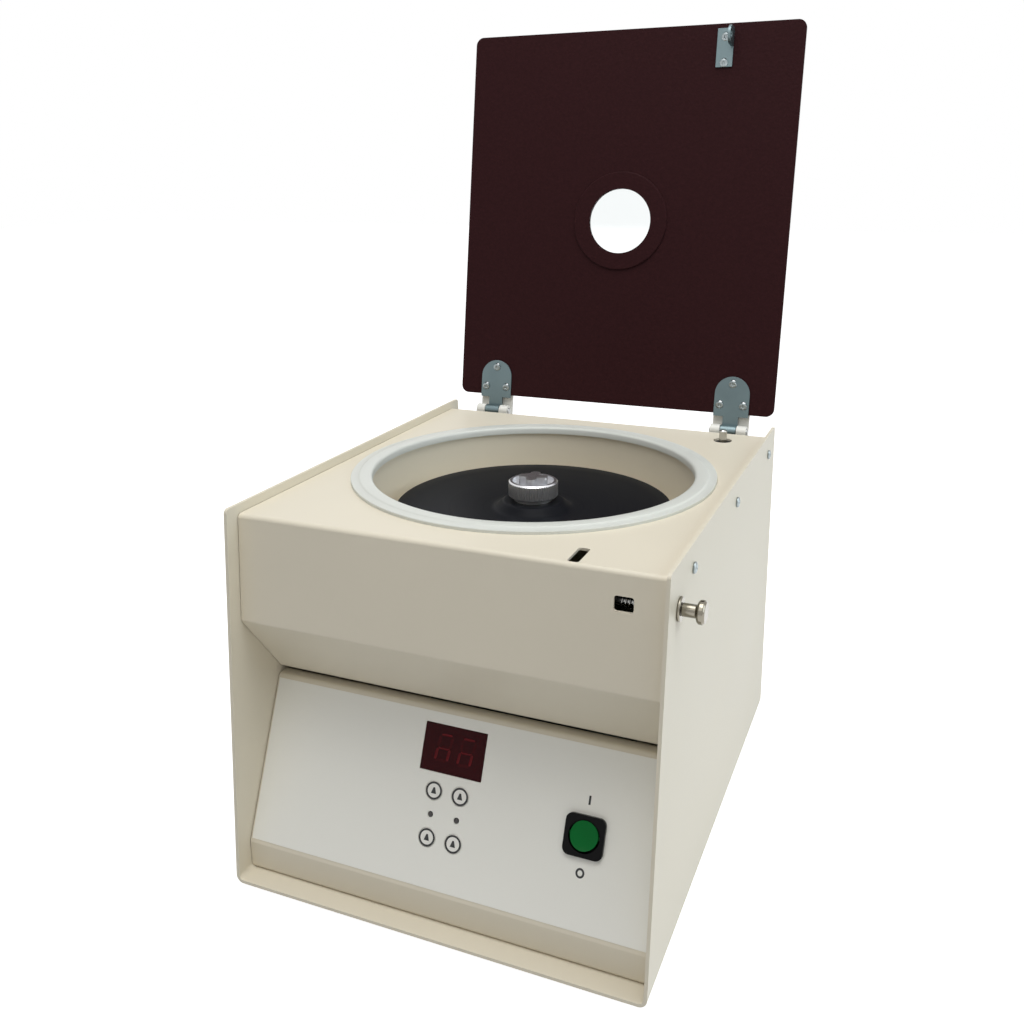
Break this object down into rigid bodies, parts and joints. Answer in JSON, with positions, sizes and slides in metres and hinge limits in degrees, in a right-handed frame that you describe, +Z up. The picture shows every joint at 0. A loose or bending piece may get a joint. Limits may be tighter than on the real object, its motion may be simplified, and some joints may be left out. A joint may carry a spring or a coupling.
{
  "type": "hematocrit centrifuge",
  "caption": "Benchtop hematocrit centrifuge: folded sheet case with slanted control panel, round rotor bowl under a flat hinged lid with view hole, side pull-knob latch.",
  "frame": {"origin": "centre of the bounding box on X and Y, at the bottom of the feet, lid open", "axes": "+X to the right seen from the control panel, +Y to the back, +Z up"},
  "size_m": [0.2754, 0.3716, 0.5257],
  "materials": {
    "cream_paint": "powder coat, semi-gloss",
    "maroon_paint": "fine textured powder coat",
    "panel_film": "printed polyester film",
    "clear_pane": "clear sheet",
    "smoked_pane": "dark red filter",
    "zinc": "zinc plated",
    "steel": "bright steel",
    "chrome": "polished",
    "aluminium": "turned",
    "black_metal": "black anodised, satin",
    "black_rubber": "moulded",
    "clear_rubber": "translucent silicone",
    "black_plastic": "moulded",
    "green_lens": "coloured lens",
    "red_lens": "coloured lens",
    "board_green": "circuit board",
    "motor_grey": "painted castings",
    "key_cap": "moulded, satin",
    "white_plastic": "nylon"
  },
  "bodies": {
    "base": {"case_wrap": "cream_paint", "deck_hood": "cream_paint", "control_panel": "cream_paint", "panel_film": "panel_film", "rear_panel": "cream_paint", "feet": "black_rubber", "foot_screws": "zinc", "base_screws": "zinc", "side_screws": "zinc", "bowl": "cream_paint", "bowl_gasket": "clear_rubber", "shaft_boot": "black_rubber", "drive_motor": "motor_grey", "motor_plate": "zinc", "motor_screws": "zinc", "motor_dampers": "black_rubber", "motor_posts": "steel", "post_nuts": "zinc", "hinge_brackets": "cream_paint", "hinge_pins": "steel", "bracket_screws": "zinc", "latch_housing": "zinc", "latch_spring": "steel", "latch_bush": "chrome", "lid_switch": "black_plastic", "control_board": "board_green", "board_standoffs": "white_plastic", "display_module": "black_plastic", "display_segments": "red_lens", "display_window": "smoked_pane", "key_switches": "black_plastic", "led_lamps": "red_lens", "switch_bezel": "black_plastic", "mains_inlet": "black_plastic", "inlet_screws": "zinc", "fuse_holder": "black_plastic", "transformer": "motor_grey"},
    "lid": {"lid_plate": "maroon_paint", "window_ring": "maroon_paint", "window_pane": "clear_pane", "hinge_leaves": "zinc", "leaf_screws": "zinc", "latch_striker": "zinc", "striker_screws": "zinc"},
    "rotor": {"rotor_plate": "aluminium", "rim_gasket": "black_rubber", "spindle": "steel", "drive_hub": "steel"},
    "cover": {"rotor_cover": "black_metal"},
    "nut": {"cover_nut": "chrome", "nut_retainer": "steel"},
    "latch": {"latch_rod": "steel", "latch_slider": "steel", "latch_knob": "chrome"},
    "plunger": {"switch_plunger": "chrome"},
    "rocker": {"power_rocker": "green_lens"},
    "key_1": {"key_1": "key_cap"},
    "key_2": {"key_2": "key_cap"},
    "key_3": {"key_3": "key_cap"},
    "key_4": {"key_4": "key_cap"}
  },
  "joints": [
    {"name": "lid_hinge", "type": "hinge", "parent": "base", "child": "lid", "pos_m": [-0.00585, 0.1356, 0.2363], "axis": [1, 0, 0], "range_deg": [0, 98.6]},
    {"name": "rotor_spin", "type": "hinge", "parent": "base", "child": "rotor", "pos_m": [-0.00585, -0.0173, 0.2], "axis": [0, 0, 1], "continuous": true},
    {"name": "cover_lift", "type": "slide", "parent": "rotor", "child": "cover", "axis": [0, 0, 1], "range_m": [0, 0.005]},
    {"name": "nut_turn", "type": "hinge", "parent": "cover", "child": "nut", "pos_m": [-0.00585, -0.0173, 0.2187], "axis": [0, 0, 1], "continuous": true},
    {"name": "latch_pull", "type": "slide", "parent": "base", "child": "latch", "axis": [1, 0, 0], "range_m": [0, 0.008], "stiffness_N_per_m": 300},
    {"name": "plunger_press", "type": "slide", "parent": "base", "child": "plunger", "axis": [0, 0, 1], "range_m": [-0.0074, 0]},
    {"name": "rocker_tilt", "type": "hinge", "parent": "base", "child": "rocker", "pos_m": [0.07775, -0.15023, 0.07545], "axis": [1, 0, 0], "range_deg": [0, 14]},
    {"name": "key_1_press", "type": "slide", "parent": "base", "child": "key_1", "axis": [0, 0.9147, -0.4042], "range_m": [0, 0.0008], "stiffness_N_per_m": 400},
    {"name": "key_2_press", "type": "slide", "parent": "base", "child": "key_2", "axis": [0, 0.9147, -0.4042], "range_m": [0, 0.0008], "stiffness_N_per_m": 400},
    {"name": "key_3_press", "type": "slide", "parent": "base", "child": "key_3", "axis": [0, 0.9147, -0.4042], "range_m": [0, 0.0008], "stiffness_N_per_m": 400},
    {"name": "key_4_press", "type": "slide", "parent": "base", "child": "key_4", "axis": [0, 0.9147, -0.4042], "range_m": [0, 0.0008], "stiffness_N_per_m": 400}
  ],
  "couplings": [
    {"joint": "plunger_press", "follows": "lid_hinge", "m_per_rad": -0.0043001}
  ]
}
